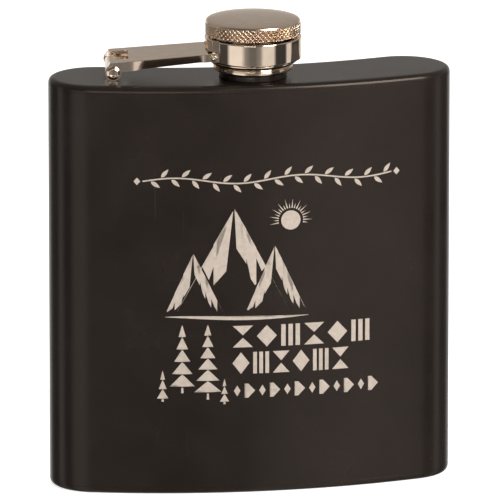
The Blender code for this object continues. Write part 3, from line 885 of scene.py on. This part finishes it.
def garland(left, right, z):
    """A rule of leaves along a shallow wave, ended by small diamonds."""
    shapes = []
    count = 24
    points = []
    for index in range(97):
        share = index / 96
        points.append((left + (right - left) * share, z + 0.75 * math.sin(share * math.pi * 4)))
    shapes += strip(points, 0.34)
    for index in range(count):
        share = (index + 0.8) / (count + 0.6)
        x = left + (right - left) * share
        base = z + 0.75 * math.sin(share * math.pi * 4)
        slope = 0.75 * math.pi * 4 / (right - left) * math.cos(share * math.pi * 4)
        side = 1 if index % 2 else -1
        shapes.append(leaf(x, base + side * 0.34, 2.6, 0.48, math.atan(slope) + side * 0.75))
    for x in (left - 1.3, right + 1.3):
        shapes.append([(x - 0.8, z), (x, z - 0.9), (x + 0.8, z), (x, z + 0.9)])
    return shapes


def woven_row(left, right, low, high, kind):
    """A row of plain geometric motifs, as on a woven border."""
    shapes = []
    tall = high - low
    step = tall * (0.98 if kind == 0 else 0.86)
    count = int((right - left) / step)
    step = (right - left) / count
    middle = (low + high) / 2
    for index in range(count):
        x = left + step * (index + 0.5)
        half = step * 0.42
        form = (index + kind) % 3
        if kind == 2:
            form = 3 if index % 2 else 4
        if form == 0:
            shapes.append([(x - half, low), (x + half, low), (x, middle - tall * 0.06)])
            shapes.append([(x - half, high), (x, middle + tall * 0.06), (x + half, high)])
        elif form == 1:
            shapes.append([(x - half, middle), (x, low), (x + half, middle), (x, high)])
        elif form == 2:
            for part in (-1, 0, 1):
                bar = x + part * half * 0.72
                thin = half * 0.22
                shapes.append([(bar - thin, low), (bar + thin, low), (bar + thin, high), (bar - thin, high)])
        elif form == 3:
            shapes.append([(x - half, low), (x - half * 0.3, low), (x + half, middle), (x - half * 0.3, high),
                           (x - half, high), (x + half * 0.25, middle)])
        else:
            shapes.append([(x - half * 0.62, middle), (x, low + tall * 0.12), (x + half * 0.62, middle),
                           (x, high - tall * 0.12)])
    return shapes


def etch(name, shapes):
    """Thin marked areas laid over the bowed front."""
    made = bmesh.new()
    for shape in shapes:
        area = sum(a[0] * b[1] - b[0] * a[1] for a, b in zip(shape, shape[1:] + shape[:1]))
        corners = shape if area > 0 else shape[::-1]
        made.faces.new([made.verts.new((u, z, 0.0)) for u, z in corners])
    bmesh.ops.triangulate(made, faces=made.faces, ngon_method="EAR_CLIP")
    bmesh.ops.remove_doubles(made, verts=made.verts, dist=0.001)
    low = min(vertex.co.x for vertex in made.verts)
    high = max(vertex.co.x for vertex in made.verts)
    place = low + 2.0
    while place < high:
        geometry = made.verts[:] + made.edges[:] + made.faces[:]
        bmesh.ops.bisect_plane(made, geom=geometry, dist=0.0001, plane_co=(place, 0, 0),
                               plane_no=(1, 0, 0))
        place += 2.0
    raised = bmesh.ops.extrude_face_region(made, geom=made.faces[:])
    tops = {item for item in raised["geom"] if isinstance(item, bmesh.types.BMVert)}
    for vertex in made.verts:
        lift = 0.03 if vertex in tops else -0.05
        vertex.co = on_front(vertex.co.x, vertex.co.y, lift)
    make_piece(name, made, etched, "flask", sharp=50.0)


BASE = 44.0
NEAR_PEAKS = [(-15.8, 58.5, 6.4, 7.0), (3.4, 60.0, 6.8, 7.4)]
ROCK = [(-0.76, -1.0, 1.0), (-0.44, -0.68, 0.86), (-0.14, -0.36, 0.60), (0.04, 0.22, 0.42),
        (0.30, 0.40, 0.62), (0.50, 0.60, 0.8), (0.70, 0.80, 0.92), (0.92, 1.0, 1.0)]
picture = peak(-6.2, 69.4, 13.5, 13.0, BASE, NEAR_PEAKS, ROCK)
for centre, top, left, right in NEAR_PEAKS:
    picture += peak(centre, top, left, right, BASE, [], ROCK)
picture.append(stroke(curve((-22.4, 43.0), (-14.0, 43.2), (-4.0, 41.6), (11.5, 42.6)), 0.8))
for x, foot, tall, tiers in ((-18.4, 24.6, 16.6, 5), (-12.4, 23.0, 18.2, 6)):
    picture += pine(x, foot, tall, tiers)
for x, foot, tall, tiers in ((-23.0, 22.6, 7.6, 3), (-8.5, 21.8, 6.2, 3)):
    picture += pine(x, foot, tall, tiers)
etch("etched_picture", picture)
etch("etched_sun", sun(7.2, 65.6, 2.3))
etch("etched_garland", garland(-27.6, 31.8, 75.6))
etch("etched_border", woven_row(-7.0, 27.0, 35.4, 40.6, 0) + woven_row(-7.0, 21.6, 29.0, 34.2, 1)
     + woven_row(-7.0, 28.8, 23.2, 26.6, 2))


# ---------------------------------------------------------------- room, light and camera

AZIMUTH = math.radians(-9.2)
ELEVATION = math.radians(13.9)
DISTANCE = 2.36
back = Vector((math.sin(AZIMUTH) * math.cos(ELEVATION), -math.cos(AZIMUTH) * math.cos(ELEVATION),
               math.sin(ELEVATION)))
right = Vector((math.cos(AZIMUTH), math.sin(AZIMUTH), 0.0))
up = back.cross(right)


def make_floor():
    made = bmesh.new()
    bmesh.ops.create_grid(made, x_segments=2, y_segments=2, size=3.0)
    mesh = bpy.data.meshes.new("studio_floor")
    made.to_mesh(mesh)
    made.free()
    floor = bpy.data.objects.new("studio_floor", mesh)
    material, tree, shader, place = new_material("pale_floor")
    cloud = fine_noise(tree, place, 3.0, 2.0)
    colour = ramp(tree, cloud, [(0.3, 0.86), (0.7, 0.88)])
    connect(tree, shader, Base_Color=colour, Roughness=0.9, Specular_IOR_Level=0.1,
            Emission_Color=(1.0, 1.0, 1.0, 1.0), Emission_Strength=0.75)
    mesh.materials.append(material)
    bpy.context.scene.collection.objects.link(floor)
    floor.visible_glossy = False


def make_world():
    """White room for the camera; soft panels and dark gaps round it for the metal to reflect."""
    world = bpy.data.worlds.new("studio")
    bpy.context.scene.world = world
    world.use_nodes = True
    tree = world.node_tree
    tree.nodes.clear()
    way = add(tree, "TexCoord").outputs["Generated"]
    parts = add(tree, "SeparateXYZ", {0: way}).outputs
    toward = Vector((back.x, back.y, 0.0)).normalized()
    ahead = add(tree, "VectorMath", {0: way, 1: toward}, operation="DOT_PRODUCT").outputs["Value"]
    aside = add(tree, "VectorMath", {0: way, 1: right}, operation="DOT_PRODUCT").outputs["Value"]
    angle = maths(tree, "ARCTAN2", aside, ahead)
    share = maths(tree, "ADD", maths(tree, "MULTIPLY", angle, 0.5 / math.pi), 0.5)
    warm = (1.0, 0.975, 0.95)

    def grey(value):
        return tuple(value * part for part in warm)

    def at(degrees):
        return (degrees + 180.0) / 360.0

    stops = []
    panels = [(-180, 0.95), (-150, 0.90), (-138, 0.12), (-105, 0.05), (-101, 0.92), (-89, 0.92), (-84, 0.06),
              (-64, 0.06), (-56, 0.95), (-28, 0.95), (-18, 0.30), (-6, 0.16), (6, 0.16), (18, 0.30),
              (25, 0.82), (50, 0.82), (57, 0.05), (84, 0.05), (90, 0.76), (101, 0.76),
              (107, 0.05), (138, 0.05), (152, 0.9)]
    for degrees, value in panels:
        stops.append((at(degrees), grey(value)))
    around = ramp(tree, share, stops)
    rise = maths(tree, "ADD", maths(tree, "MULTIPLY", parts[2], 0.5), 0.5)
    level = ramp(tree, rise, [(0.0, 0.0), (0.50, 0.0), (0.60, 1.0), (1.0, 1.0)])
    depth = maths(tree, "ADD", maths(tree, "MULTIPLY", ahead, 0.5), 0.5)
    tan = (1.0, 0.93, 0.86)
    behind = [tuple(value * part for part in tan) for value in (0.365, 0.35)]
    above = ramp(tree, depth, [(0.0, behind[0]), (0.30, behind[1]), (0.55, grey(0.22)),
                               (0.75, grey(0.12)), (1.0, grey(0.10))])
    light = mixed_colour(tree, level, around, above)
    room = add(tree, "Background", {"Color": light, "Strength": 1.0}).outputs[0]
    white = add(tree, "Background", {"Color": (1.0, 1.0, 1.0, 1.0), "Strength": 1.0}).outputs[0]
    seen = add(tree, "LightPath").outputs["Is Camera Ray"]
    shown = add(tree, "MixShader", {0: seen, 1: room, 2: white}).outputs[0]
    output = tree.nodes.new("ShaderNodeOutputWorld")
    tree.links.new(shown, output.inputs["Surface"])


def area_light(name, way, distance, size, power, colour, reflected=True):
    light = bpy.data.lights.new(name, "AREA")
    light.shape = "RECTANGLE"
    light.size, light.size_y = size
    light.energy = power
    light.color = colour
    holder = bpy.data.objects.new(name, light)
    aim = Vector((0.0, 0.0, 0.06))
    direction = Vector(way).normalized()
    holder.location = aim + direction * distance
    holder.rotation_euler = (-direction).to_track_quat("-Z", "Y").to_euler()
    holder.visible_glossy = reflected
    bpy.context.scene.collection.objects.link(holder)


def make_camera():
    camera = bpy.data.cameras.new("camera")
    holder = bpy.data.objects.new("camera", camera)
    aim = Vector((0.0, 0.0, 0.050)) + up * 0.00524 - right * 0.0003
    holder.location = aim + back * DISTANCE
    holder.rotation_euler = Matrix((right, up, back)).transposed().to_euler()
    camera.sensor_width = 36.0
    camera.lens = 723.3
    camera.clip_end = 20.0
    bpy.context.scene.collection.objects.link(holder)
    bpy.context.scene.camera = holder


make_floor()
make_world()
area_light("key_softbox", (0.486, -0.695, 0.53), 1.0, (0.46, 0.56), 9.5, (1.0, 0.95, 0.89))
area_light("fill_strip", (-0.28, -0.95, 0.12), 1.0, (0.50, 0.09), 1.0, (1.0, 0.97, 0.93))
area_light("overhead_softbox", (0.0, 0.1, 1.0), 0.9, (0.8, 0.6), 3.5, (1.0, 0.97, 0.93), False)
make_camera()
bpy.context.scene.view_settings.view_transform = "Standard"
